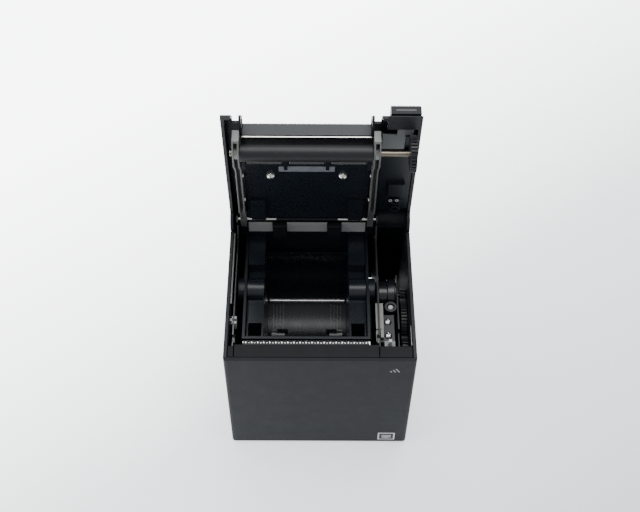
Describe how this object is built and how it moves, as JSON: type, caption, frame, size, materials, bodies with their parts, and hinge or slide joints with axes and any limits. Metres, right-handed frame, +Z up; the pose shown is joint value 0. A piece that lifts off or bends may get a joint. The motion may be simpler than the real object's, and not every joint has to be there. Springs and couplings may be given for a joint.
{
  "type": "receipt printer",
  "caption": "Compact cube-shaped thermal receipt printer with a hinged roll cover, platen and gear train, auto-cutter, removable width guide and rear sockets",
  "frame": {"origin": "centre of the case footprint on the surface that it stands on", "axes": "+X to the printer's right seen from the front, +Y to the rear, +Z up"},
  "size_m": [0.127, 0.127, 0.2342],
  "materials": {
    "case_black": "case black",
    "panel_black": "panel black",
    "gloss_black": "gloss black",
    "inner_black": "inner black",
    "inner_gloss": "inner gloss",
    "steel": "steel",
    "rubber": "rubber",
    "platen_rubber": "platen rubber",
    "board_green": "board green",
    "motor_black": "motor black",
    "aluminium": "aluminium",
    "ceramic": "ceramic",
    "gear_black": "gear black",
    "brass": "brass",
    "white_plastic": "white plastic",
    "grey_plastic": "grey plastic",
    "lens": "lens",
    "label_silver": "label silver"
  },
  "bodies": {
    "base": {"case_shell": "case_black", "bottom_tray": "case_black", "rubber_feet": "rubber", "front_panel": "panel_black", "front_trim": "gloss_black", "tear_comb": "steel", "front_shoulders": "case_black", "socket_panel": "steel", "dc_inlet": "inner_black", "drawer_socket": "inner_black", "lan_socket": "steel", "usb_socket": "inner_black", "main_board": "board_green", "side_plate_left": "steel", "side_plate_right": "steel", "hinge_rod": "steel", "rear_crossbar": "steel", "paper_tabs": "inner_black", "roll_tray": "inner_black", "width_insert": "inner_gloss", "mechanism_frame": "steel", "springs": "steel", "cutter_motor": "inner_black", "gear_bridge": "steel", "feed_motor": "motor_black", "motor_bracket": "steel", "bracket_screws": "steel", "switch_blocks": "inner_black"},
    "head": {"print_head": "aluminium", "head_ceramic": "ceramic"},
    "cutter": {"cutter_blade": "steel"},
    "cutter_drive": {"cutter_pinion": "gear_black"},
    "output": {"output_gear": "gear_black"},
    "idler": {"idler_gear": "gear_black"},
    "pinion": {"motor_pinion": "brass"},
    "latch": {"latch_hooks": "steel"},
    "feeler": {"paper_feeler": "inner_black"},
    "plunger": {"switch_plunger": "white_plastic"},
    "cover": {"cover_shell": "case_black", "exit_band": "panel_black", "status_lens": "lens", "cover_arm_left": "steel", "cover_arm_right": "steel", "cover_pins": "steel", "cover_liner": "inner_black", "blank_label": "label_silver", "liner_screws": "steel", "side_liner": "inner_black", "control_board": "board_green", "fixed_blade": "steel", "blade_bar": "inner_black", "platen_bearings": "white_plastic"},
    "platen": {"platen_rubber": "platen_rubber", "platen_shaft": "steel", "platen_gear": "gear_black"},
    "rollers": {"guide_rollers": "inner_gloss"},
    "release": {"release_button": "panel_black", "release_slider": "grey_plastic"},
    "feed_key": {"feed_key": "panel_black"},
    "power_key": {"power_key": "panel_black"}
  },
  "joints": [
    {"name": "lid_hinge", "type": "hinge", "parent": "base", "child": "cover", "pos_m": [0, 0.0535, 0.117], "axis": [1, 0, 0], "range_deg": [0, 85]},
    {"name": "platen_spin", "type": "hinge", "parent": "cover", "child": "platen", "pos_m": [0, 0.03344, 0.2086], "axis": [1, 0, 0], "continuous": true},
    {"name": "guide_roller_spin", "type": "hinge", "parent": "cover", "child": "rollers", "pos_m": [0, 0.03748, 0.19691], "axis": [1, 0, 0], "continuous": true},
    {"name": "release_press", "type": "slide", "parent": "cover", "child": "release", "axis": [0, -0.9962, -0.0872], "range_m": [0, 0.0012], "stiffness_N_per_m": 900, "springref_m": -0.0015},
    {"name": "feed_key_press", "type": "slide", "parent": "cover", "child": "feed_key", "axis": [0, -0.9962, -0.0872], "range_m": [0, 0.0008], "stiffness_N_per_m": 700, "springref_m": -0.0012},
    {"name": "power_key_press", "type": "slide", "parent": "cover", "child": "power_key", "axis": [0, -0.9962, -0.0872], "range_m": [0, 0.0008], "stiffness_N_per_m": 700, "springref_m": -0.0012},
    {"name": "head_tilt", "type": "hinge", "parent": "base", "child": "head", "pos_m": [0, -0.04695, 0.0927], "axis": [1, 0, 0], "range_deg": [0, 1.5], "stiffness_Nm_per_rad": 12, "springref_deg": -2.86},
    {"name": "cutter_slide", "type": "slide", "parent": "base", "child": "cutter", "axis": [0, 1, 0], "range_m": [0, 0.0045]},
    {"name": "cutter_pinion_spin", "type": "hinge", "parent": "base", "child": "cutter_drive", "pos_m": [0, -0.0564, 0.10783], "axis": [1, 0, 0], "range_deg": [-90, 2]},
    {"name": "idler_spin", "type": "hinge", "parent": "base", "child": "idler", "pos_m": [0, -0.01181, 0.08056], "axis": [1, 0, 0], "continuous": true},
    {"name": "output_spin", "type": "hinge", "parent": "base", "child": "output", "pos_m": [0, -0.0361, 0.08572], "axis": [1, 0, 0], "continuous": true},
    {"name": "pinion_spin", "type": "hinge", "parent": "base", "child": "pinion", "pos_m": [0, 0.00614, 0.0901], "axis": [1, 0, 0], "continuous": true},
    {"name": "latch_swing", "type": "hinge", "parent": "base", "child": "latch", "pos_m": [0, -0.05, 0.088], "axis": [1, 0, 0], "range_deg": [0, 10], "stiffness_Nm_per_rad": 0.3, "springref_deg": -11.46},
    {"name": "feeler_swing", "type": "hinge", "parent": "base", "child": "feeler", "pos_m": [0, -0.042, 0.09], "axis": [1, 0, 0], "range_deg": [0, 20], "stiffness_Nm_per_rad": 0.003, "springref_deg": -17.19},
    {"name": "plunger_press", "type": "slide", "parent": "base", "child": "plunger", "axis": [0, 0, -1], "range_m": [0, 0.003], "stiffness_N_per_m": 200, "springref_m": -0.0015}
  ],
  "couplings": [
    {"joint": "cutter_pinion_spin", "follows": "cutter_slide", "rad_per_m": -333.33},
    {"joint": "output_spin", "follows": "idler_spin", "ratio": -2},
    {"joint": "pinion_spin", "follows": "idler_spin", "ratio": -4.4}
  ]
}
